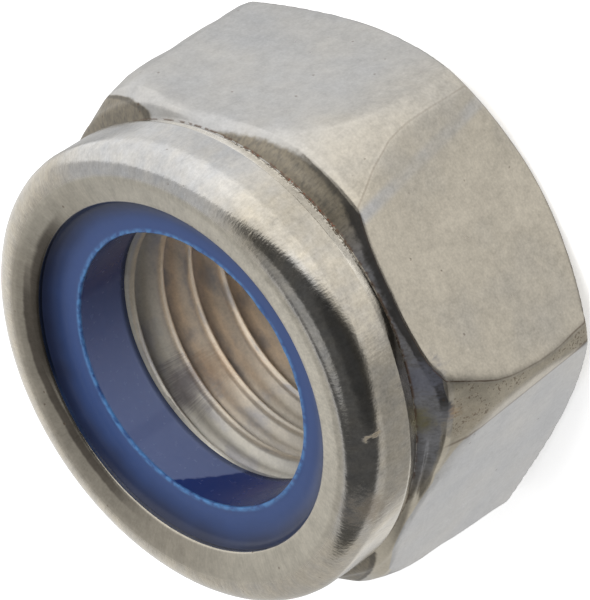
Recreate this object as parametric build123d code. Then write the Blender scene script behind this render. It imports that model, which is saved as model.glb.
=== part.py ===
from build123d import *
from build123d.topology import SkipClean
import math
import os

# Nylon insert lock nut, M16 x 2. Millimetres and degrees.
# The bearing face lies on Z = 0, the thread axis is Z and the collar with the insert is on top.

# Hexagon
across_flats = 24.0
corner_round_depth = 0.3        # from a sharp corner in to the rounded one
corner_lean = 0.6               # how much further in the corners lean towards the top
corner_lean_height = 5.8        # where the corners begin to lean
top_chamfer_angle = 40.0        # from the horizontal
bearing_edge_inset = 0.6        # from the flats in to the edge of the bearing face
bearing_chamfer_angle = 38.0    # from the horizontal

# Thread, ISO metric
thread_diameter = 16.0
thread_pitch = 2.0
flank_angle = 30.0              # half of the angle between two flanks
thread_valley_height = -0.07    # a valley crosses the +X side at this height
countersink_width = 0.65        # from the thread's major diameter out
countersink_angle = 60.0        # from the thread axis
bore_wall_faces = 6             # equal faces that the wall of the bore is made of

# Rolled collar
nut_height = 15.7
collar_height = 4.4             # from the top of the flats, at the middle of their width
collar_inset = 0.05             # from the flats in to the collar's side, so that a spanner passes
shoulder_radius = 1.4
crown_width = 0.1               # flat top between the shoulder and the pressed ring
press_ring_depth = 0.2          # of the ring that the closing die leaves, and of its slanted edge
neck_depth = 0.45               # of the groove between hexagon and collar
flare_angle = 45.0              # of the collar's underside, from the horizontal
flare_chamfer = 0.35            # between the underside and the collar's side
lip_thickness = 1.0
lip_edge_chamfer = 0.15

# Room for the insert, inside the collar
collar_wall = 1.5
lip_overhang = 1.35             # of the lip, over the insert
seat_depth = 4.2                # from the crown down to the seat

# Nylon insert
insert_interference = 0.85      # how far its bore lies inside the thread's major diameter
insert_face_rise = 0.1          # from the lip's underside up to the flat face
insert_swell_height = 0.35      # where the nylon is pressed up along the lip
insert_clearance = 0.05

# Sizes that follow from the ones above
flat_radius = across_flats / 2
corner_radius = flat_radius / math.cos(math.radians(30)) - corner_round_depth
side_height = nut_height - collar_height
seat_height = nut_height - seat_depth
ring_height = nut_height - press_ring_depth
lip_underside = ring_height - lip_thickness
major_radius = thread_diameter / 2
thread_depth = 5 / 8 * thread_pitch * math.cos(math.radians(flank_angle))
minor_radius = major_radius - thread_depth
side_radius = flat_radius - collar_inset
neck_radius = side_radius - neck_depth
room_radius = side_radius - collar_wall
lip_radius = room_radius - lip_overhang


def slope(angle):
    """Rise over run of a line at an angle."""
    return math.tan(math.radians(angle))


def top_cone_height(radius):
    """Height of the top chamfer cone at a radius."""
    return side_height - (radius - flat_radius) * slope(top_chamfer_angle)


def corner_at(section, point):
    """Vertex of a flat section at a point given as (radius, height)."""
    return section.vertices().sort_by_distance((point[0], point[1], 0))[0]


def turned(section):
    """Solid of revolution about Z from a section drawn in radius and height."""
    return revolve(Plane.XZ * section, Axis.Z)


def hexagon():
    """Hexagonal prism with its chamfer cones and the leaning round of its corners."""
    bearing = flat_radius - bearing_edge_inset
    top = corner_radius - corner_lean
    outline = Polyline(
        (0, 0),
        (bearing, 0),
        (corner_radius, (corner_radius - bearing) * slope(bearing_chamfer_angle)),
        (corner_radius, corner_lean_height),
        (top, top_cone_height(top)),
        (neck_radius, top_cone_height(neck_radius)),
        (0, top_cone_height(neck_radius)),
        close=True,
    )
    prism = extrude(RegularPolygon(flat_radius, 6, major_radius=False), nut_height)
    return prism & turned(make_face(outline))


def collar():
    """Neck groove, flared side, rolled shoulder and pressed ring, still without the hollow inside."""
    neck_height = top_cone_height(neck_radius)
    flare_end = (side_radius, neck_height + neck_depth * slope(flare_angle))
    shoulder = (side_radius, nut_height)
    ring = side_radius - shoulder_radius - crown_width
    outline = Polyline(
        (0, side_height),
        (neck_radius, side_height),
        (neck_radius, neck_height),
        flare_end,
        shoulder,
        (ring, nut_height),
        (ring - press_ring_depth, ring_height),
        (0, ring_height),
        close=True,
    )
    section = chamfer(corner_at(make_face(outline), flare_end), flare_chamfer)
    return turned(fillet(corner_at(section, shoulder), shoulder_radius))


def insert_room():
    """Hollow for the insert, from its seat up to the lip, and the opening inside the lip."""
    chamfer_top = lip_radius + lip_edge_chamfer + press_ring_depth
    outline = Polyline(
        (0, seat_height),
        (room_radius, seat_height),
        (room_radius, lip_underside),
        (lip_radius, lip_underside),
        (lip_radius, ring_height - lip_edge_chamfer),
        (chamfer_top, nut_height),
        (0, nut_height),
        close=True,
    )
    return turned(make_face(outline))


def bore():
    """Hole at the thread's minor diameter. Its wall is a ring of equal faces."""
    step = 360 / bore_wall_faces
    arcs = [CenterArc((0, 0), minor_radius, index * step, step) for index in range(bore_wall_faces)]
    return extrude(make_face(arcs), seat_height, clean=False)


def countersink():
    """Cone that opens the thread at the bearing face."""
    outer = major_radius + countersink_width
    depth = outer / slope(countersink_angle)
    return turned(make_face(Polyline((0, 0), (outer, 0), (0, depth), close=True)))


def thread_groove():
    """Right-hand helical groove between the thread's crests, one solid for each turn."""
    inner = minor_radius - 0.1 * thread_depth
    root_half = thread_pitch / 16
    mouth_half = root_half + (major_radius - inner) * slope(flank_angle)
    start = thread_valley_height - thread_pitch
    profile = Polyline(
        (major_radius, start - root_half),
        (major_radius, start + root_half),
        (inner, start + mouth_half),
        (inner, start - mouth_half),
        close=True,
    )
    path = Helix(thread_pitch, thread_pitch, major_radius, center=(0, 0, start))
    turn = sweep(Plane.XZ * make_face(profile), path, is_frenet=True)
    turns = math.ceil((seat_height - start) / thread_pitch) + 1
    return [Pos(0, 0, index * thread_pitch) * turn for index in range(turns)]


def nut_body():
    """The metal nut: hexagon and collar in one piece, with the insert's room and the thread."""
    blank = hexagon() + collar() - insert_room() - countersink()
    with SkipClean():
        return blank - bore() - thread_groove()


def nylon_insert():
    """Ring that sits on its seat under the lip, swollen a little where the lip presses it."""
    inner = major_radius - insert_interference
    outer = room_radius - insert_clearance
    lip = lip_radius - insert_clearance
    shoulder = lip_underside - insert_clearance
    face = lip_underside + insert_face_rise
    outline = Polyline(
        (inner, seat_height),
        (outer, seat_height),
        (outer, shoulder),
        (lip, shoulder),
        (lip, face + insert_swell_height),
        ((inner + lip) / 2, face),
        (inner, face),
        close=True,
    )
    return turned(make_face(outline))


os.makedirs("parts", exist_ok=True)
export_step(nut_body(), "parts/nut_body.step")
export_step(nylon_insert(), "parts/nylon_insert.step")
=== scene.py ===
import math

import bpy
from mathutils import Matrix


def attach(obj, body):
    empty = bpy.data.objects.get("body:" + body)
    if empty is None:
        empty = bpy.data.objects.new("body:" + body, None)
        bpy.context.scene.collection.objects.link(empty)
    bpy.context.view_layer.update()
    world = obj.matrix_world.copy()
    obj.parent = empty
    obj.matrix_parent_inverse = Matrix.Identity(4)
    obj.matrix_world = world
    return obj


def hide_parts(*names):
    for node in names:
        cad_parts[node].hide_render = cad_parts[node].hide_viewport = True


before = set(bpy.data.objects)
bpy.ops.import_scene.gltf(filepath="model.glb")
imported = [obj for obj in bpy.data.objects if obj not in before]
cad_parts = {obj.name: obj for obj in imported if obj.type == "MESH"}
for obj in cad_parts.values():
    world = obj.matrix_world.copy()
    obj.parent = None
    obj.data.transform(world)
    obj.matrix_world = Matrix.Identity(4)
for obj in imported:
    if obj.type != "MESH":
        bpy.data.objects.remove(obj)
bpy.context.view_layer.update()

mm = 0.001
fullTurn = 2 * math.pi
sixth = math.radians(60)         # from one corner of the hexagon to the next
mergeDistance = 0.002 * mm
print("frame:", ", ".join(sorted(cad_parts)))


class Value:
    # a socket that can be used in sums, each sum adds its Math node
    def __init__(self, tree, socket):
        self.tree = tree
        self.socket = socket

    def __add__(self, other):
        return self.tree.math("ADD", self, other)

    def __sub__(self, other):
        return self.tree.math("SUBTRACT", self, other)

    def __rsub__(self, other):
        return self.tree.math("SUBTRACT", other, self)

    def __mul__(self, other):
        return self.tree.math("MULTIPLY", self, other)

    def __truediv__(self, other):
        return self.tree.math("DIVIDE", self, other)

    def __rtruediv__(self, other):
        return self.tree.math("DIVIDE", other, self)

    __radd__ = __add__
    __rmul__ = __mul__


class Tree:
    def __init__(self, nodeTree):
        self.nodeTree = nodeTree

    def add(self, kind, settings=None, inputs=None, output=0):
        # settings go on the node first, then values and links into its sockets
        node = self.nodeTree.nodes.new(kind)
        for name, setting in (settings or {}).items():
            setattr(node, name, setting)
        for key, item in (inputs or {}).items():
            if isinstance(item, Value):
                self.nodeTree.links.new(item.socket, node.inputs[key])
            else:
                node.inputs[key].default_value = item
        return Value(self, node.outputs[output]) if len(node.outputs) else node

    def math(self, operation, *items):
        return self.add("ShaderNodeMath", {"operation": operation}, dict(enumerate(items)))

    def vectorMath(self, operation, *items):
        return self.add("ShaderNodeVectorMath", {"operation": operation}, dict(enumerate(items)))

    def vectorMathValue(self, operation, *items):
        return self.add("ShaderNodeVectorMath", {"operation": operation}, dict(enumerate(items)), 1)

    def least(self, first, second, softness=0):
        return self.math("SMOOTH_MIN", first, second, softness)

    def most(self, first, second, softness=0):
        return self.math("SMOOTH_MAX", first, second, softness)

    def blend(self, amount, start, end):
        # from one number to another
        return start + (end - start) * amount

    def step(self, item, low, high):
        # 0 below low, 1 above high, smooth between
        edges = {"From Min": low, "From Max": high, "To Min": 0, "To Max": 1}
        if low > high:
            edges = {"From Min": high, "From Max": low, "To Min": 1, "To Max": 0}
        return self.add("ShaderNodeMapRange", {"interpolation_type": "SMOOTHSTEP"}, {"Value": item, **edges})

    def band(self, item, middle, half, soft):
        # 1 within half of the middle, fading over soft
        return self.step(self.math("ABSOLUTE", item - middle), half + soft, half)

    def outputs(self, kind, inputs=None):
        # every named output of a new node
        node = self.add(kind, {}, inputs).socket.node
        return {socket.name: Value(self, socket) for socket in node.outputs if socket.name}

    def split(self, vector):
        return list(self.outputs("ShaderNodeSeparateXYZ", {0: vector}).values())

    def join(self, x, y, z):
        return self.add("ShaderNodeCombineXYZ", {}, {0: x, 1: y, 2: z})

    def noise(self, place, scale, detail=2):
        return self.add("ShaderNodeTexNoise", {}, {"Vector": place, "Scale": scale, "Detail": detail})

    def tint(self, amount, start, end, mode="MIX"):
        # from one colour to another; colours are three numbers or a socket
        start, end = [item if isinstance(item, Value) else (*item, 1) for item in (start, end)]
        settings = {"data_type": "RGBA", "blend_type": mode}
        return self.add("ShaderNodeMix", settings, {0: amount, 6: start, 7: end}, 2)


def roundedRun(corners):
    # Points along a line of corners (radius, height, round, step), corners rounded by arcs.
    # The step is the spacing on the straight run that follows the corner.
    points = []
    last = len(corners) - 1
    for index, (radius, height, rounding, _) in enumerate(corners):
        if rounding and 0 < index < last:
            arc = cornerArc(corners[index - 1][:2], (radius, height), corners[index + 1][:2], rounding)
        else:
            arc = [(radius, height)]
        if points:
            points += between(points[-1], arc[0], corners[index - 1][3])
        points += arc
    return points


def cornerArc(before, corner, after, rounding, turnPerPoint=9, longestStep=0.8):
    inward = direction(corner, before)
    onward = direction(corner, after)
    opening = math.acos(max(-1, min(1, inward[0] * onward[0] + inward[1] * onward[1])))
    reach = rounding / math.tan(opening / 2)
    start = [corner[axis] + inward[axis] * reach for axis in (0, 1)]
    bisector = direction((0, 0), (inward[0] + onward[0], inward[1] + onward[1]))
    centreDistance = rounding / math.sin(opening / 2)
    centre = [corner[axis] + bisector[axis] * centreDistance for axis in (0, 1)]
    turn = math.pi - opening
    steps = max(2, round(math.degrees(turn) / turnPerPoint), math.ceil(rounding * turn / longestStep))
    side = 1 if inward[0] * onward[1] - inward[1] * onward[0] < 0 else -1
    arc = []
    for index in range(steps + 1):
        angle = side * turn * index / steps
        x, y = start[0] - centre[0], start[1] - centre[1]
        arc.append((
            centre[0] + x * math.cos(angle) - y * math.sin(angle),
            centre[1] + x * math.sin(angle) + y * math.cos(angle),
        ))
    return arc


def direction(start, end):
    x, y = end[0] - start[0], end[1] - start[1]
    length = math.hypot(x, y)
    return x / length, y / length


def between(start, end, step):
    # points inside a straight run, no more than a step apart
    count = max(1, math.ceil(math.dist(start, end) / step))
    return [
        (start[0] + (end[0] - start[0]) * index / count, start[1] + (end[1] - start[1]) * index / count)
        for index in range(1, count)
    ]


def sectionObject(name, rows):
    # a line of points in radius and height, with marks that say which rows the flats or the thread shape
    mesh = bpy.data.meshes.new(name)
    points = [(radius * mm, 0, height * mm) for radius, height, _, _ in rows]
    mesh.from_pydata(points, [(index, index + 1) for index in range(len(rows) - 1)], [])
    for mark, place in (("clipped", 2), ("threaded", 3)):
        layer = mesh.attributes.new(mark, "FLOAT", "POINT")
        for index, row in enumerate(rows):
            layer.data[index].value = row[place]
    piece = bpy.data.objects.new(name, mesh)
    bpy.context.scene.collection.objects.link(piece)
    return piece


def turnedTree(name, numbers, shape, material):
    # A grid of section rows and columns round Z. shape gives each point its radius and height.
    group = bpy.data.node_groups.new(name, "GeometryNodeTree")
    group.is_modifier = True
    group.interface.new_socket("Section", in_out="INPUT", socket_type="NodeSocketGeometry")
    for label, number in numbers.items():
        kind = "NodeSocketInt" if isinstance(number, int) else "NodeSocketFloat"
        group.interface.new_socket(label, in_out="INPUT", socket_type=kind)
    group.interface.new_socket("Body", in_out="OUTPUT", socket_type="NodeSocketGeometry")
    tree = Tree(group)
    given = tree.outputs("NodeGroupInput")
    section = given["Section"]
    rowCount = tree.add("GeometryNodeAttributeDomainSize", {"component": "MESH"}, {0: section})
    grid = tree.add("GeometryNodeMeshGrid", {}, {
        "Size X": 1, "Size Y": 1, "Vertices X": given["Columns"] + 1, "Vertices Y": rowCount})
    index = tree.add("GeometryNodeInputIndex")
    column = tree.math("FLOOR", (index + 0.5) / rowCount)
    row = index - column * rowCount
    angle = column * fullTurn / given["Columns"]

    def along(kind, field):
        return tree.add("GeometryNodeSampleIndex", {"data_type": kind, "domain": "POINT"},
                        {"Geometry": section, "Value": field, "Index": row})

    def mark(name):
        kind = {"data_type": "FLOAT"}
        return along("FLOAT", tree.add("GeometryNodeInputNamedAttribute", kind, {"Name": name}))

    place = tree.split(along("FLOAT_VECTOR", tree.add("GeometryNodeInputPosition")))
    radius, height, kept = shape(tree, given, angle, place[0], place[2], mark("clipped"), mark("threaded"))
    body = grid
    for label, field in kept.items():
        body = tree.add("GeometryNodeStoreNamedAttribute", {"data_type": "FLOAT", "domain": "POINT"},
                        {"Geometry": body, "Name": label, "Value": field})
    spot = tree.join(radius * tree.math("COSINE", angle), radius * tree.math("SINE", angle), height)
    body = tree.add("GeometryNodeSetPosition", {}, {"Geometry": body, "Position": spot})
    body = tree.add("GeometryNodeMergeByDistance", {}, {"Geometry": body, "Distance": mergeDistance})
    body = tree.add("GeometryNodeSetShadeSmooth", {}, {0: body})
    body = tree.add("GeometryNodeRealizeInstances", {}, {0: body})
    body = tree.add("GeometryNodeSetMaterial", {}, {"Geometry": body, "Material": material})
    tree.add("NodeGroupOutput", {}, {0: body})
    return group


def turnPiece(name, rows, numbers, shape, material):
    # runs the tree on its section and keeps the result as a plain mesh
    piece = sectionObject(name, rows)
    group = turnedTree(name + "Tree", numbers, shape, material)
    modifier = piece.modifiers.new("turn", "NODES")
    modifier.node_group = group
    for item in group.interface.items_tree:
        if item.item_type == "SOCKET" and item.in_out == "INPUT" and item.name in numbers:
            modifier[item.identifier] = numbers[item.name]
    evaluated = piece.evaluated_get(bpy.context.evaluated_depsgraph_get())
    plain = bpy.data.meshes.new_from_object(evaluated)
    piece.modifiers.remove(modifier)
    piece.data = plain
    plain.name = name
    triangles = sum(len(face.vertices) - 2 for face in plain.polygons)
    print(name, "has", len(rows), "rows and", triangles, "triangles")
    return piece


class Surface:
    # a point on a piece, in millimetres, as the patterns of its finish read it
    def __init__(self, tree):
        self.tree = tree
        place = tree.add("ShaderNodeTexCoord", {}, {}, 3)
        self.place = tree.add("ShaderNodeMapping", {}, {"Vector": place, "Scale": (1000, 1000, 1000)})
        self.x, self.y, self.z = tree.split(self.place)
        self.radius = tree.math("SQRT", self.x * self.x + self.y * self.y)

    def facing(self, degrees):
        # cosine of the angle round the axis between the point and a side
        turn = math.radians(degrees)
        return (self.x * math.cos(turn) + self.y * math.sin(turn)) / self.radius

    def side(self, degrees, low, high):
        # 1 round a side, fading out between two of those cosines
        return self.tree.step(self.facing(degrees), low, high)

    def streaks(self, number, along, detail=3):
        # noise drawn out along a direction, with about that number of streaks in a radian
        across = [item / self.radius * number for item in (self.x, self.y)]
        return self.tree.noise(self.tree.join(*across, along), 1, detail)

    def bump(self, height):
        return self.tree.add("ShaderNodeBump", {}, {"Height": height, "Distance": mm, "Strength": 1})


class Coat:
    # a colour laid on in layers, and how dull they leave the metal
    def __init__(self, tree, colour):
        self.tree = tree
        self.colour = colour
        self.dull = 0

    def lay(self, mask, strength, colour, dullness=0):
        self.colour = self.tree.tint(mask * strength, self.colour, colour)
        if dullness:
            self.dull = self.tree.most(self.dull, mask * dullness)


def newFinish(name, shade):
    # shade gives what goes into the shader's sockets
    material = bpy.data.materials.new(name)
    material.use_nodes = True
    material.node_tree.nodes.clear()
    tree = Tree(material.node_tree)
    shader = tree.add("ShaderNodeBsdfPrincipled", {}, shade(tree))
    tree.add("ShaderNodeOutputMaterial", {}, {0: shader})
    return material


nutSizes = {
    "columns": 444,
    "flatRadius": 12.0,
    "cornerRound": 0.3,          # from a sharp corner in
    "cornerLean": 0.82,          # how far a corner leans in at its top
    "leanHeight": 7.6,           # where the lean begins
    "leanRound": 20,
    "topChamfer": 40,            # degrees
    "bearingInset": 0.6,
    "bearingChamfer": 38,        # degrees
    "edgeSoftness": 0.12,
    "topSoftness": 0.75,         # where a flat rolls over into the chamfer
    "height": 15.7,
    "collarHeight": 4.4,
    "collarInset": 0.05,
    "sideLean": 0.25,            # of the collar's side, over its top part
    "leanStart": 1.65,
    "shoulder": 1.5,
    "neckDepth": 0.45,
    "flareChamfer": 0.35,
    "crownInside": 10.25,        # where the crown begins to dip towards the lip
    "dishInside": 9.35,
    "dishDepth": 0.19,
    "lipDepth": 0.28,
    "lipRound": 0.15,
    "lipUnderside": 1.2,         # below the crown
    "lipOverhang": 1.35,
    "wall": 1.5,
    "seatDepth": 4.2,
    "pitch": 2.0,
    "major": 8.0,
    "minor": 6.9175,
    "valleyHeight": -0.07,
    "flankAngle": 30,            # degrees
    "countersink": 0.65,
    "countersinkAngle": 60,      # degrees
    "threadSoftness": 0.16,
    "waviness": 0.3,
    "sag": 0.15,                 # how far the corners away from the front draw in, at most
    "sagRise": 0.8,              # and how fast that grows with 1 - cosine of the turn from the front
    "bentCorner": -120,          # degrees; this corner leans to one side
    "cornerBend": 1.9,           # millimetres for each radian from the corner
    "cornerGrowth": 0.15,
    "uprightGrowth": 0.55,       # the two corners on X stand straighter than the others
    "collarGrowth": 0.22,        # and the collar leans less on the far side
}

# where changes of the nut's shape fade in: millimetres of height, and of radius where the name ends in Out
nutFades = {
    "topRoll": (9.4, 10.7),
    "sag": (7.5, 10.4),
    "cornerBend": (1.5, 5),
    "upright": (6.3, 10.3),
    "uprightOut": (11.5, 12.05),
    "cornersOut": (11.8, 12.3),
    "rolled": (14, 15.2),
    "rolledOut": (9.9, 11),
}

# sides of the nut where its shape changes: cosines of the turn from the side, out and in
nutSides = {
    "front": (0.88, 0.97),
    "bentCorner": (0.87, 0.96),
    "onX": (0.85, 0.96),
    "far": (-0.6, 0.05),
}

# heights of the thread's rows in one pitch, closer where the valley is
threadOffsets = [0.1, 0.4, 0.7, 0.86, 1.0, 1.14, 1.3, 1.6, 1.9]


def nutRows(size):
    # the nut's section from the bearing face up the outside, over the collar, down the inside
    flat = size["flatRadius"]
    corner = flat / math.cos(sixth / 2) - size["cornerRound"]
    sideHeight = size["height"] - size["collarHeight"]
    lean = corner - size["cornerLean"]
    chamfer = math.tan(math.radians(size["topChamfer"]))
    side = flat - size["collarInset"]
    neck = side - size["neckDepth"]
    neckHeight = sideHeight + (flat - neck) * chamfer
    flare = size["flareChamfer"]
    bearing = flat - size["bearingInset"]
    top = size["height"]
    underside = top - size["lipUnderside"]
    room = side - size["wall"]
    lip = room - size["lipOverhang"]
    seat = top - size["seatDepth"]
    mouth = size["major"] + size["countersink"]
    hexagon = roundedRun([
        (mouth, 0, 0, 1.2),
        (bearing, 0, 0.2, 0.24),
        (corner, (corner - bearing) * math.tan(math.radians(size["bearingChamfer"])), 0.3, 0.5),
        (corner, size["leanHeight"], size["leanRound"], 0.2),
        (lean, sideHeight - (lean - flat) * chamfer, 0.22, 0.11),
        (neck + 0.1, neckHeight - 0.1 * chamfer, 0, 0.1),
    ])
    collar = roundedRun([
        (neck + 0.08, neckHeight - 0.02, 0, 0.1),
        (neck + 0.2, neckHeight + 0.1, 0.04, 0.1),
        (side, neckHeight + size["neckDepth"] + flare, 0.4, 0.3),
        (side, top - size["leanStart"], 2.5, 0.2),
        (side - size["sideLean"], top, size["shoulder"], 0.2),
        (size["crownInside"], top, 0.6, 0.2),
        (size["dishInside"], top - size["dishDepth"], 1.5, 0.2),
        (lip, top - size["lipDepth"], size["lipRound"], 0.2),
        (lip, underside, 0, 0.5),
        (room, underside, 0, 1),
        (room, seat, 0, 0.8),
        (mouth - 0.2, seat, 0, 1),
    ])
    pitch = size["pitch"]
    valley = size["valleyHeight"]
    turns = range(-1, math.ceil((seat - valley) / pitch))
    thread = [valley + turn * pitch + offset for turn in turns for offset in threadOffsets]
    thread.append(thread[0] - pitch * 0.1)
    rows = [(radius, height, 1, 0) for radius, height in hexagon]
    rows += [(radius, height, 0, 0) for radius, height in collar]
    rows += [(size["minor"], height, 0, 1) for height in sorted(thread, reverse=True)]
    return rows


def fade(tree, item, name):
    low, high = nutFades[name]
    return tree.step(item, low * mm, high * mm)


def cornerChange(tree, given, angle, radius, height):
    # how far the corners stand out from the round section: bent, sagging, rippled or upright
    front = tree.math("COSINE", angle + math.radians(90))
    sag = tree.least((1 - front) * given["Sag rise"], given["Sag"]) * fade(tree, height, "sag")
    spot = tree.join(tree.math("COSINE", angle), tree.math("SINE", angle), height / given["Flat radius"])
    ripple = (tree.noise(spot, 5, 1) - 0.5) * given["Waviness"]
    fromCorner = tree.math("FLOORED_MODULO", angle + sixth / 2, sixth) - sixth / 2
    bend = fromCorner * given["Corner bend"] + given["Corner growth"]
    bend = bend * tree.step(tree.math("COSINE", angle - given["Bent corner"]), *nutSides["bentCorner"])
    bend = bend * fade(tree, height, "cornerBend")
    upright = tree.step(tree.math("ABSOLUTE", tree.math("COSINE", angle)), *nutSides["onX"])
    upright = upright * fade(tree, height, "upright") * fade(tree, radius, "uprightOut")
    change = fade(tree, radius, "cornersOut") * (bend - sag - tree.most(ripple, 0))
    return change + upright * given["Upright growth"]


def outsideShape(tree, given, angle, radius, height, clipped):
    # clipped rows are cut by the six flats, the others stay round
    turned = radius + clipped * cornerChange(tree, given, angle, radius, height)
    across = tree.math("FLOORED_MODULO", angle, sixth) - sixth / 2
    flat = given["Flat radius"] / tree.math("COSINE", across)
    nearFront = tree.step(tree.math("COSINE", angle + math.radians(90)), *nutSides["front"])
    softness = tree.blend(nearFront, given["Top softness"], given["Top softness"] * 0.4)
    softness = tree.blend(fade(tree, height, "topRoll"), given["Edge softness"], softness)
    farSide = tree.step(tree.math("COSINE", angle - math.radians(100)), *nutSides["far"])
    rolled = farSide * fade(tree, height, "rolled") * fade(tree, radius, "rolledOut")
    rolled = radius + rolled * given["Collar growth"]
    outside = tree.blend(clipped, rolled, tree.least(turned, flat, softness))
    # the finish reads how far out past the flats a point was, in millimetres; 9 where nothing is cut
    return outside, tree.blend(clipped, 9, (turned - flat) / mm)


def threadShape(tree, given, angle, height):
    # rows climb with the turn, and stop level at the bearing face and the seat
    pitch = given["Pitch"]
    rise = angle * pitch / fullTurn
    level = tree.least(tree.most(height + rise, 0), given["Seat height"])
    fromValley = tree.math("PINGPONG", level - rise - given["Valley height"], pitch / 2)
    flank = given["Major radius"] - (fromValley - pitch / 16) / given["Flank slope"]
    soft = given["Thread softness"]
    inside = tree.most(tree.least(flank, given["Major radius"], soft * 0.5), given["Minor radius"], soft)
    return tree.most(inside, given["Mouth radius"] - level * given["Mouth slope"]), level


def nutShape(tree, given, angle, radius, height, clipped, threaded):
    outside, seam = outsideShape(tree, given, angle, radius, height, clipped)
    inside, level = threadShape(tree, given, angle, height)
    kept = {"seam": seam, "threaded": threaded}
    return tree.blend(threaded, outside, inside), tree.blend(threaded, height, level), kept


metalLook = {
    # painted reflection tints: the colour of a side stands in for what it mirrors
    "cool": (0.49, 0.49, 0.49),
    "warm": (0.51, 0.465, 0.385),
    "strip": (0.44, 0.445, 0.46),    # a cooler strip across the front flat
    "web": (0.57, 0.515, 0.41),      # the round of a corner
    "crown": (0.52, 0.485, 0.41),
    # painted shade on one side of the crown
    "paintedCrownShade": (0.385, 0.35, 0.29),
    # painted shade in the dip by the lip
    "paintedLipShade": (0.10, 0.085, 0.07),
    "threadTint": (0.85, 0.72, 0.57),
    "threadCool": (0.50, 0.49, 0.44),
    "threadPatch": (0.42, 0.41, 0.42),
    "threadRoot": (0.22, 0.19, 0.16),
    "oxide": (0.20, 0.17, 0.12),     # in the recess between corners and collar
    "recessCool": (0.185, 0.19, 0.21),
    "recessDark": (0.03, 0.028, 0.026),
    # also painted light on the flare beside the raised edge
    "burr": (0.66, 0.62, 0.54),
    "dirt": (0.10, 0.055, 0.03),
    "rust": (0.20, 0.07, 0.04),
    "scratch": (0.42, 0.34, 0.23),
    "flatRoughness": 0.32,
    "webRoughness": 0.45,
    "collarRoughness": 0.14,
    "crownRoughness": 0.42,
    "threadRoughness": 0.36,
    "cloudScale": 0.28,              # of the noises, for each millimetre
    "blotchScale": 1.3,
    "fleckScale": 3.2,
    "grainScale": 8,
    "pitScale": 1.05,
    "wave": 0.02,                    # heights of the bumps, millimetres
    "dent": 0.003,
    "grain": 0.004,
    "pit": 0.01,
    "stroke": 0.007,
    "brush": 0.012,
}

# stains on the metal: place, reach, colour and how dull it is
stains = [
    ((-6.1, -9.9, 11.6), 1.1, (0.16, 0.14, 0.06), 0.5),
    ((-4.4, -11.1, 11.3), 1.6, (0.14, 0.145, 0.18), 0.3),
    ((-8.8, -7.8, 15.0), 1.7, (0.30, 0.25, 0.19), 0.3),
    ((-7.0, -10.6, 9.4), 1.6, (0.36, 0.31, 0.23), 0.4),
    ((-6.6, -11.1, 10.3), 0.6, (0.34, 0.24, 0.14), 0.5),
    ((-1.5, 7.1, 9.95), 2.1, (0.21, 0.19, 0.21), 0.1),
    ((-1.6, 7.2, 7.9), 1.6, (0.72, 0.54, 0.38), 0),
]

# where the zones of the nut's finish begin and end: heights and radii in millimetres
zones = {
    "cone": (11.3, 0.4),             # middle and half of the chamfer's level, followed in to the flats
    "coneFoot": (10.25, 10.4),
    "uprightFoot": (11.6, 12.1),
    "neck": (11.45, 11.55),
    "collar": (11.7, 11.8),
    "crown": (15.3, 15.5),
    "crownEdge": (10.75, 10.45),
    "groove": (11.7, 11.6),          # height and radius of the line between hexagon and collar
    "bentDrop": 0.25,                # how much lower the chamfer lies beside the bent corner
    "coolSeam": (6.8, 6.95),         # along the plane that bounds the cool side flat
}


class NutSurface(Surface):
    # what the finish reads on the nut: noises, and zones that are 1 inside and 0 outside
    def __init__(self, tree):
        super().__init__(tree)
        look = metalLook
        x, y, z, radius = self.x, self.y, self.z, self.radius
        self.seam = tree.add("ShaderNodeAttribute", {"attribute_name": "seam"}, {}, 2)
        self.threaded = tree.add("ShaderNodeAttribute", {"attribute_name": "threaded"}, {}, 2)
        self.cloud = tree.noise(self.place, look["cloudScale"], 3)
        self.blotch = tree.noise(self.place, look["blotchScale"], 4)
        self.fleck = tree.noise(self.place, look["fleckScale"], 3)
        self.grain = tree.noise(self.place, look["grainScale"], 3)
        self.strokes = self.streaks(95, (z - radius) * 2.2)
        self.brushed = self.streaks(16, (z - radius) * 0.9)
        pits = tree.add("ShaderNodeTexVoronoi", {}, {"Vector": self.place, "Scale": look["pitScale"]})
        self.pits = tree.step(pits, 0.10, 0.04) * tree.step(self.blotch, 0.5, 0.6)

        # the chamfer on top of the hexagon, the rounds of its corners, the collar and its crown
        self.onX = tree.math("ABSOLUTE", self.facing(0))
        slope = math.tan(math.radians(nutSizes["topChamfer"]))
        risen = tree.step(self.onX, *nutSides["onX"]) * tree.step(radius, *zones["uprightFoot"])
        risen = risen * nutSizes["uprightGrowth"]
        level = z + (radius - nutSizes["flatRadius"] - risen) * slope
        level = level + self.side(-137, 0.985, 0.995) * zones["bentDrop"]
        self.cone = tree.band(level, *zones["cone"], 0.08) * tree.step(radius, *zones["neck"])
        self.cone = self.cone * tree.step(self.seam, 0.12, 0.04) * tree.step(z, *zones["coneFoot"])
        self.collar = tree.step(z, *zones["collar"])
        self.web = tree.step(self.seam, -0.02, -0.1) * (1 - self.collar) * (1 - self.cone)
        self.crown = tree.step(z, *zones["crown"]) * tree.step(radius, *zones["crownEdge"])
        grooveHeight, grooveRadius = zones["groove"]
        fromGroove = tree.math("ABSOLUTE", z - grooveHeight) + tree.math("ABSOLUTE", radius - grooveRadius)
        self.groove = tree.step(fromGroove, 0.22, 0.05)

        # sides of the nut that differ in colour, a painted reflection tint standing in for what each side
        # mirrors
        self.left = self.side(-25, 0.82, 0.97)
        self.coolFlat = self.side(-150, 0.84, 0.87)
        self.acrossSeam = x * 0.5 - y * 0.866 + z * 0.2535
        front = self.side(-95, 0.62, 0.93)
        self.front = front * tree.blend(self.coolFlat, 1, tree.step(self.acrossSeam, *zones["coolSeam"]))


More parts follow.
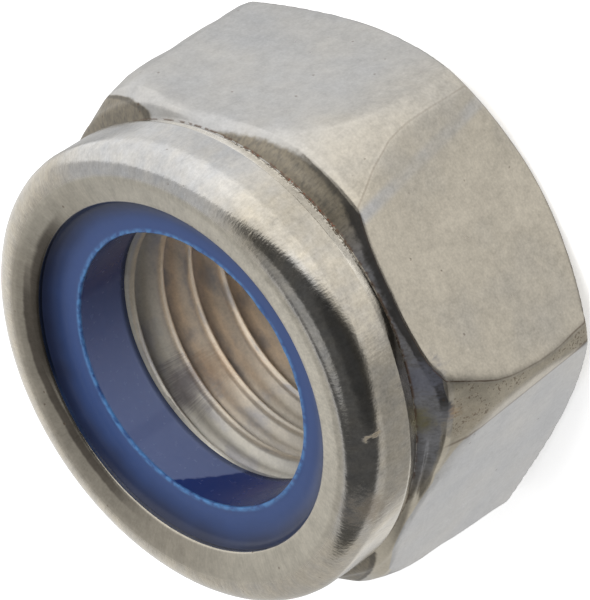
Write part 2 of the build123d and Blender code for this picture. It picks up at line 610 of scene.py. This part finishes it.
def plainMetal(tree, at):
    # painted reflection tint: warmer at the front and on the collar, cooler on the sides and in the dark band
    # the shoulder mirrors
    look = metalLook
    paintedWarmth = at.front * 0.85 + 0.15 + (at.cloud - 0.5) * 0.9
    # painted reflection: the dark band that the shoulder mirrors is tinted cooler
    paintedDarkBand = at.side(-108, 0.72, 0.86) * tree.step(at.z, 14.4, 14.8) * (1 - at.crown)
    onCollar = 0.9 - at.left * 0.75 - paintedDarkBand * 0.5 + (at.brushed - 0.5) * 0.8
    coat = Coat(tree, tree.tint(tree.blend(at.collar, paintedWarmth, onCollar), look["cool"], look["warm"]))
    # a slanted strip on the front flat
    strip = tree.band(at.x + at.z * 0.185, 5.56, 0.1, 0.4) * tree.step(at.y, -11.8, -11.95)
    coat.lay(strip * tree.step(at.cloud, 0.25, 0.6), 0.7, look["strip"])
    rounds = tree.most(at.web * at.side(-122, 0.93, 0.97), at.cone * at.side(-152, 0.85, 0.93))
    coat.lay(rounds, 0.9, look["web"])
    return coat


def layCrown(tree, at, coat):
    # the crown with painted shade on one side, and a painted line of shade where it dips to the lip
    look = metalLook
    coat.lay(at.crown, 0.9, look["crown"])
    # painted shade: one side of the crown darker
    crownPaintedShade = at.side(95, 0.2, 0.85) * at.crown + at.side(25, 0.8, 0.95) * at.crown * 0.3
    coat.lay(crownPaintedShade + (at.cloud - 0.5) * at.crown * 0.5, 1, look["paintedCrownShade"])
    # painted shade: a dark arc in the dip by the lip, wider on one side
    wavy = at.radius + (at.brushed - 0.5) * 0.15
    arc = tree.band(wavy - tree.step(at.facing(40), 0.55, 1) * 0.25, 9.4, 0.16, 0.16)
    arc = arc * at.side(82, 0.66, 0.9) * tree.step(at.z, 15.2, 15.3)
    arc = tree.most(arc, tree.step(wavy, 9.75, 9.45) * at.side(48, 0.78, 0.93))
    coat.lay(arc * (1 - at.threaded), 0.85, look["paintedLipShade"])


def layThread(tree, at, coat):
    # cooler on the nearest turn, darker in the valleys
    look = metalLook
    smears = at.streaks(3, at.z * 1.3, 4)
    cool = tree.most(tree.step(at.z, 8.7, 10.2), at.side(150, 0.75, 0.98) * 0.8)
    bare = tree.tint(cool * 0.85, look["threadTint"], look["threadCool"])
    bare = tree.tint(tree.step(smears, 0.5, 0.68) * 0.8, bare, look["threadPatch"])
    halfPitch = nutSizes["pitch"] / 2
    risen = tree.math("ARCTAN2", at.y, at.x) * (halfPitch / math.pi)
    fromValley = tree.math("PINGPONG", at.z - risen - nutSizes["valleyHeight"], halfPitch)
    root = tree.step(fromValley, 0.2, 0.02) * tree.step(at.blotch, 0.3, 0.6)
    bare = tree.tint(root * 0.7, bare, look["threadRoot"])
    coat.lay(at.threaded, 1, bare, 0.33)


def layTarnish(tree, at, coat):
    # on the chamfer between corners and collar, darkest where it meets the flats
    look = metalLook
    uneven = at.fleck - 0.5
    boundary = tree.least((at.radius - 11.85) * 0.36, 0.21) + uneven * 0.07
    reach = at.radius - at.side(-120, 0.87, 0.96) * 0.2 + uneven * 0.06 - at.side(-115, 0.985, 0.997) * 0.1
    front = tree.step(at.facing(-90) - boundary, 0.58, 0.65) * tree.step(reach, 12.58, 12.52)
    outward = at.radius - 11.9
    beyond = at.y / at.radius - outward * 0.06 - outward * outward * 0.145 + uneven * 0.03
    back = tree.step(beyond, -0.21, -0.18) * tree.step(at.onX, 0.8, 0.85)
    recess = at.cone * tree.most(front, back)
    stain = tree.tint(at.side(-108, 0.78, 0.92), look["oxide"], look["recessCool"])
    streaks = tree.step(at.strokes, 0.35, 0.75) * 0.4 + tree.step(at.fleck, 0.4, 0.7) * 0.3
    stain = tree.tint(streaks + at.side(-88, 0.8, 0.97) * 0.2, stain, look["recessDark"])
    coat.lay(recess, 0.92, stain, 0.5)

    # where the flats begin, two tips beside the bent corner, a line at the corners on X, the end at -60
    edge = at.seam + uneven * 0.3 - at.side(-90, 0.93, 0.99) * 0.3
    edges = [
        tree.step(edge, -0.7, -0.46) * at.side(-97, 0.78, 0.90),
        tree.step(at.radius + uneven * 0.1, 12.46, 12.58) * at.side(-113, 0.989, 0.998),
        tree.step(at.y + uneven * 0.25, -11.56, -11.66) * at.side(-106, 0.968, 0.98),
        tree.band(beyond, -0.17, 0.01, 0.025) * back * 0.5,
        tree.step(reach, 12.25, 12.45) * at.side(-62, 0.93, 0.98) * 0.7,
    ]
    darkest = edges[0]
    for item in edges[1:]:
        darkest = tree.most(darkest, item)
    coat.lay(recess * darkest, 0.9, look["recessDark"])


def layStains(tree, at, coat):
    for spot, reach, colour, dullness in stains:
        distance = tree.vectorMathValue("DISTANCE", at.place, spot)
        distance = distance + (at.blotch - 0.5) * reach + (at.strokes - 0.5) * reach * 1.2
        coat.lay(tree.step(distance, reach, reach * 0.05), 0.75, colour, dullness)
    # a golden scratch across the shoulder
    slanted = at.x * 0.883 - at.y * 0.469 + (at.z - 14.7) * 0.15
    scratch = tree.band(slanted + (at.strokes - 0.5) * 0.7, 0, 0.03, 0.13) * tree.band(at.z, 14.75, 0.3, 0.25)
    coat.lay(scratch * at.side(-118, 0.9, 0.95) * (1 - at.crown), 0.7, metalLook["scratch"], 0.45)


def layCollarFoot(tree, at, coat):
    # a raised edge under the collar's side, painted light on the flare beside it where the metal would mirror
    # dark, and dirt and rust in the groove below it
    look = metalLook
    outside = tree.step(at.radius, 11.5, 11.55)
    burr = tree.band(at.z + (at.fleck - 0.5) * 0.3, 11.9, 0.1, 0.06) * tree.step(at.radius, 11.93, 11.88)
    burr = burr * outside * at.side(-58, 0.88, 0.96) * tree.step(at.grain, 0.35, 0.6)
    # painted light: the flare is painted pale and dull instead of mirroring the dark
    under = tree.band(at.z, 12.2, 0.22, 0.06) * outside * at.side(-52, 0.75, 0.9)
    coat.lay(tree.most(burr, under * 0.75), 1, look["burr"], 0.8)
    coat.lay(at.groove * tree.step(at.fleck, 0.4, 0.55), 0.8, look["dirt"])
    coat.lay(at.groove * tree.step(at.grain, 0.56, 0.66) * at.side(-60, 0.93, 0.98), 1, look["rust"])


def layDirt(tree, at, coat):
    # fine lines where flats meet corners, pits and spots
    look = metalLook
    line = tree.band(at.seam, 0.02, 0.01, 0.025) * at.side(-90, 0.86, 0.9) * (1 - at.collar)
    line = line * tree.blend(at.side(-120, 0.9, 0.97), 0.25, 0.75) * tree.step(at.fleck, 0.15, 0.5)
    straight = tree.band(at.acrossSeam, 6.88, 0.02, 0.12) * at.coolFlat * at.side(-120, 0.88, 0.92)
    straight = straight * (1 - at.collar) * tree.step(at.z, 11, 10)
    coat.lay(tree.most(line, straight * 0.5), 1, look["dirt"])
    spots = at.web * at.side(-116, 0.96, 0.99) * tree.step(at.grain + (at.blotch - 0.5) * 0.6, 0.58, 0.68)
    coat.lay(tree.most(at.pits * 0.5, spots * 0.6), 1, look["dirt"])


def layMottle(tree, at, coat):
    # uneven brightness, the marks of tumbling and turning, painted light on the left of the collar and
    # painted shade low down towards +X
    mottle = (at.cloud - 0.5) * 0.4 + (at.blotch - 0.5) * 0.35
    mottle = mottle + (at.fleck - 0.5) * 0.3 + (at.grain - 0.5) * 0.35
    shade = 0.97 + mottle * tree.blend(at.front, 0.8, 1.25) + (at.brushed - 0.5) * at.collar * 0.25
    # painted light: the collar lighter on its left side
    shade = shade + (at.strokes - 0.5) * at.collar * 0.3 + at.left * at.collar * (1 - at.crown) * 0.08
    # painted shade: darker low down towards +X
    shade = shade - tree.step(at.z, 6, 1) * tree.step(at.x, -4, 2) * 0.06
    coat.colour = tree.tint(1, coat.colour, tree.join(shade, shade, shade), "MULTIPLY")


def metalRoughness(tree, at):
    look = metalLook
    rough = tree.blend(at.web, look["flatRoughness"], look["webRoughness"]) + (at.blotch - 0.5) * 0.2
    rough = tree.blend(at.collar, rough, look["collarRoughness"] + (at.brushed - 0.5) * 0.12)
    rough = tree.blend(at.crown, rough, look["crownRoughness"])
    return tree.blend(at.threaded, rough, look["threadRoughness"]) + at.groove * 0.2


def metalHeight(at):
    look = metalLook
    height = at.cloud * look["wave"] + at.blotch * look["dent"] + at.grain * look["grain"]
    marks = at.strokes * look["stroke"] + at.brushed * look["brush"]
    return height - at.pits * look["pit"] + marks * at.collar * (1 - at.crown * 0.8)


def metalShade(tree):
    at = NutSurface(tree)
    coat = plainMetal(tree, at)
    for layer in (layCrown, layThread, layTarnish, layStains, layCollarFoot, layDirt, layMottle):
        layer(tree, at, coat)
    return {
        "Base Color": coat.colour,
        "Metallic": 1 - coat.dull,
        "Roughness": metalRoughness(tree, at),
        "Normal": at.bump(metalHeight(at)),
    }


def makeNut():
    size = nutSizes
    numbers = {
        "Columns": size["columns"],
        "Flat radius": size["flatRadius"] * mm,
        "Edge softness": size["edgeSoftness"] * mm,
        "Top softness": size["topSoftness"] * mm,
        "Seat height": (size["height"] - size["seatDepth"]) * mm,
        "Pitch": size["pitch"] * mm,
        "Valley height": size["valleyHeight"] * mm,
        "Major radius": size["major"] * mm,
        "Minor radius": size["minor"] * mm,
        "Flank slope": math.tan(math.radians(size["flankAngle"])),
        "Mouth radius": (size["major"] + size["countersink"]) * mm,
        "Mouth slope": math.tan(math.radians(size["countersinkAngle"])),
        "Thread softness": size["threadSoftness"] * mm,
        "Waviness": size["waviness"] * mm,
        "Sag": size["sag"] * mm,
        "Sag rise": size["sagRise"] * mm,
        "Bent corner": math.radians(size["bentCorner"]),
        "Corner bend": size["cornerBend"] * mm,
        "Corner growth": size["cornerGrowth"] * mm,
        "Upright growth": size["uprightGrowth"] * mm,
        "Collar growth": size["collarGrowth"] * mm,
    }
    finish = newFinish("tumbledStainless", metalShade)
    return turnPiece("stainlessNut", nutRows(size), numbers, nutShape, finish)


nut = makeNut()
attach(nut, "root")
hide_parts("nut_body")


ringSizes = {
    "columns": 360,
    "bore": 7.15,
    "outer": 10.4,
    "lip": 9.12,                 # a little into the metal that presses on it
    "seat": 11.5,
    "shoulder": 14.45,
    "face": 14.6,
    "swell": 0.58,
    "rimBurr": 0.09,             # height of the worn edge round the bore
    "burrPlace": 0.09,           # how far out from the bore it is highest
    "burrWidth": 0.08,
}


def ringRows(size):
    face = size["face"]
    run = roundedRun([
        (size["bore"], size["seat"], 0, 1),
        (size["outer"], size["seat"], 0, 1),
        (size["outer"], size["shoulder"], 0, 0.5),
        (size["lip"], size["shoulder"], 0, 0.2),
        (size["lip"], face + size["swell"], 0, 0.1),
        (size["lip"] - 0.2, face + size["swell"] * 0.45, 0.5, 0.12),
        (size["lip"] - 0.9, face, 1.0, 0.2),
        (size["bore"], face, 0.06, 0.4),
        (size["bore"], size["seat"], 0, 1),
    ])
    # the mark raises the worn edge next to the bore
    rows = []
    for radius, height in run:
        fromBurr = (radius - size["bore"] - size["burrPlace"]) / size["burrWidth"]
        mark = math.exp(-fromBurr ** 2) if height > size["shoulder"] else 0
        rows.append((radius, height, mark, 0))
    return rows


def ringShape(tree, given, angle, radius, height, clipped, threaded):
    around = tree.join(tree.math("COSINE", angle), tree.math("SINE", angle), 0)
    nicks = tree.step(tree.noise(around, 5, 4), 0.35, 0.7)
    return radius, height + clipped * nicks * given["Rim burr"], {}


nylonLook = {
    "inner": (0.017, 0.046, 0.155),
    # painted shade towards the metal lip
    "outer": (0.005, 0.009, 0.030),
    "boreDeep": (0.007, 0.022, 0.11),
    # painted sheen on one side of the bore wall
    "paintedBoreSheen": (0.10, 0.13, 0.25),
    "rim": (0.055, 0.17, 0.37),
    "faceRoughness": 0.36,
    "boreRoughness": 0.25,
    "cloudScale": 0.5,               # of the noises, for each millimetre
    "scuffScale": 3.0,
    "wave": 0.02,                    # heights of the bumps, millimetres
    "scuff": 0.003,
}


def nylonShade(tree):
    look = nylonLook
    at = Surface(tree)
    cloud = tree.noise(at.place, look["cloudScale"], 2)
    scuffs = tree.noise(at.place, look["scuffScale"], 4)
    face = tree.step(at.z, 14.45, 14.55)
    # painted shade: the face darkens from the bore out towards the metal lip
    colour = tree.tint(tree.step(at.radius + (cloud - 0.5) * 0.6, 7.6, 9.3), look["inner"], look["outer"])
    # the cut wall of the bore has a painted sheen round one side, standing in for a reflection
    end = at.facing(60) - (at.z - 13) * 0.1 + (scuffs - 0.5) * 0.05
    pale = at.side(122, 0.1, 0.97) * 0.75 + at.side(122, 0.22, 0.3) * 0.2
    seamLine = tree.band(at.facing(60), 0.66, 0.02, 0.04)
    pale = pale * tree.step(end, 0.145, 0.175) * tree.blend(seamLine, 1, 0.85)
    bore = tree.tint(pale + (scuffs - 0.5) * 0.12, look["boreDeep"], look["paintedBoreSheen"])
    colour = tree.tint(face, bore, colour)
    rim = tree.step(at.radius, 7.45, 7.25) * face * tree.step(scuffs, 0.3, 0.65)
    colour = tree.tint(rim * 0.85, colour, look["rim"])
    rough = tree.blend(face, look["boreRoughness"], look["faceRoughness"]) + (scuffs - 0.5) * 0.15
    height = cloud * look["wave"] + scuffs * look["scuff"]
    return {"Base Color": colour, "Roughness": rough, "Normal": at.bump(height)}


def makeRing():
    size = ringSizes
    numbers = {"Columns": size["columns"], "Rim burr": size["rimBurr"] * mm}
    finish = newFinish("blueNylon", nylonShade)
    return turnPiece("nylonRing", ringRows(size), numbers, ringShape, finish)


ring = makeRing()
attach(ring, "root")
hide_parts("nylon_insert")


cameraSizes = {
    "place": (49.65366, -321.94398, 254.71732),
    "right": (-0.45250, -0.58625, -0.67198),
    "down": (-0.88352, 0.19253, 0.42699),
    "ahead": (-0.12094, 0.78692, -0.60508),
    "sensor": 36,
    "focalPixels": 8615.88,
    "imageHeight": 600,
}


def makeCamera(size):
    data = bpy.data.cameras.new("camera")
    data.sensor_fit = "VERTICAL"
    data.sensor_height = size["sensor"]
    data.lens = size["sensor"] * size["focalPixels"] / size["imageHeight"]
    data.clip_start = 0.01
    data.clip_end = 10
    camera = bpy.data.objects.new("camera", data)
    bpy.context.scene.collection.objects.link(camera)
    up = [-item for item in size["down"]]
    back = [-item for item in size["ahead"]]
    turn = Matrix((size["right"], up, back)).transposed().to_4x4()
    camera.matrix_world = Matrix.Translation([item * mm for item in size["place"]]) @ turn
    bpy.context.scene.camera = camera


makeCamera(cameraSizes)


# the studio as metal mirrors it
studio = {
    "wall": 0.70,
    # round patches: brightness, turn and height of the middle, reach and softness in degrees
    "patches": [
        (1.25, (-2, -5), 61, 3),         # white card
        (1.45, (-45, -20), 45, 20),      # window
        (1.1, (84, 0), 26, 12),          # wall behind
        (0.12, (-135, 45), 63, 6),       # dark room
        (0.06, (-112, 6), 33, 10),       # and its darkest part
        (0.5, (170, 86), 17, 5),         # overhead
    ],
    "table": 0.98,
    # parts of the table that differ: brightness, turn, outer and inner edge in degrees
    "tableParts": [
        (0.5, -160, 55, 30),
        (1.15, -50, 50, 38),
        (0.62, 90, 45, 30),
    ],
    "tableEdge": (-0.42, -0.52),
    "diffuse": 0.8,
    "lampPower": 3,
    "lampSize": 0.3,
    "lampTurn": -45,
    "lampPlace": (0.5, 0.45),            # metres out and up
    "floorReach": 3,
    "floorGrey": 0.9,
    "floorGlow": 0.45,
}


def aim(turn, height):
    turn, height = math.radians(turn), math.radians(height)
    return math.cos(turn) * math.cos(height), math.sin(turn) * math.cos(height), math.sin(height)


def studioLight(tree, direction):
    direction = tree.vectorMath("NORMALIZE", direction)
    x, y, z = tree.split(direction)
    level = tree.math("SQRT", x * x + y * y) + 0.0001

    def within(nearness, outer, inner):
        return tree.step(nearness, math.cos(math.radians(outer)), math.cos(math.radians(inner)))

    def cap(side, reach, soft):
        # 1 inside a round patch of the surroundings
        return within(tree.vectorMathValue("DOT_PRODUCT", direction, aim(*side)), reach + soft, reach - soft)

    def towards(turn, outer, inner):
        turn = math.radians(turn)
        return within((x * math.cos(turn) + y * math.sin(turn)) / level, outer, inner)

    shade = studio["wall"]
    for brightness, side, reach, soft in studio["patches"]:
        shade = tree.blend(cap(side, reach, soft), shade, brightness)
    table = studio["table"]
    for brightness, turn, outer, inner in studio["tableParts"]:
        table = tree.blend(towards(turn, outer, inner), table, brightness)
    return tree.blend(tree.step(z, *studio["tableEdge"]), shade, table)


def makeWorld():
    world = bpy.data.worlds.new("studio")
    world.use_nodes = True
    world.node_tree.nodes.clear()
    bpy.context.scene.world = world
    tree = Tree(world.node_tree)
    ray = tree.outputs("ShaderNodeLightPath")
    place = tree.add("ShaderNodeTexCoord", {}, {}, 3)
    mirrored = tree.most(ray["Is Glossy Ray"], ray["Is Transmission Ray"])
    strength = tree.blend(mirrored, studio["diffuse"], studioLight(tree, place))
    strength = tree.blend(ray["Is Camera Ray"], strength, 1)
    shader = tree.add("ShaderNodeBackground", {}, {"Color": (1, 1, 1, 1), "Strength": strength})
    tree.add("ShaderNodeOutputWorld", {}, {0: shader})


def makeFloor():
    mesh = bpy.data.meshes.new("floor")
    reach = studio["floorReach"]
    corners = [(-reach, -reach, 0), (reach, -reach, 0), (reach, reach, 0), (-reach, reach, 0)]
    mesh.from_pydata(corners, [], [(0, 1, 2, 3)])
    floor = bpy.data.objects.new("floor", mesh)
    bpy.context.scene.collection.objects.link(floor)
    material = bpy.data.materials.new("paleFloor")
    material.use_nodes = True
    material.node_tree.nodes.clear()
    tree = Tree(material.node_tree)
    ray = tree.outputs("ShaderNodeLightPath")
    grey = studio["floorGrey"]
    matte = tree.add("ShaderNodeBsdfDiffuse", {}, {"Color": (grey, grey, grey, 1)})
    glow = tree.add("ShaderNodeEmission", {}, {"Color": (1, 1, 1, 1), "Strength": studio["floorGlow"]})
    seen = tree.most(ray["Is Camera Ray"], tree.most(ray["Is Glossy Ray"], ray["Is Transmission Ray"]))
    lifted = tree.add("ShaderNodeAddShader", {}, {0: matte, 1: glow})
    shader = tree.add("ShaderNodeMixShader", {}, {0: seen, 1: matte, 2: lifted})
    tree.add("ShaderNodeOutputMaterial", {}, {0: shader})
    mesh.materials.append(material)
    floor.visible_glossy = False
    return floor


def makeLamp():
    data = bpy.data.lights.new("softbox", "AREA")
    data.shape = "DISK"
    data.size = studio["lampSize"]
    data.energy = studio["lampPower"]
    lamp = bpy.data.objects.new("softbox", data)
    bpy.context.scene.collection.objects.link(lamp)
    turn = math.radians(studio["lampTurn"])
    out, up = studio["lampPlace"]
    lamp.location = (out * math.cos(turn), out * math.sin(turn), up)
    lamp.rotation_mode = "QUATERNION"
    lamp.rotation_quaternion = lamp.location.to_track_quat("Z", "Y")
    lamp.visible_glossy = False


makeWorld()
floor = makeFloor()
makeLamp()
bpy.context.scene.view_settings.view_transform = "Standard"
print("stage ready")
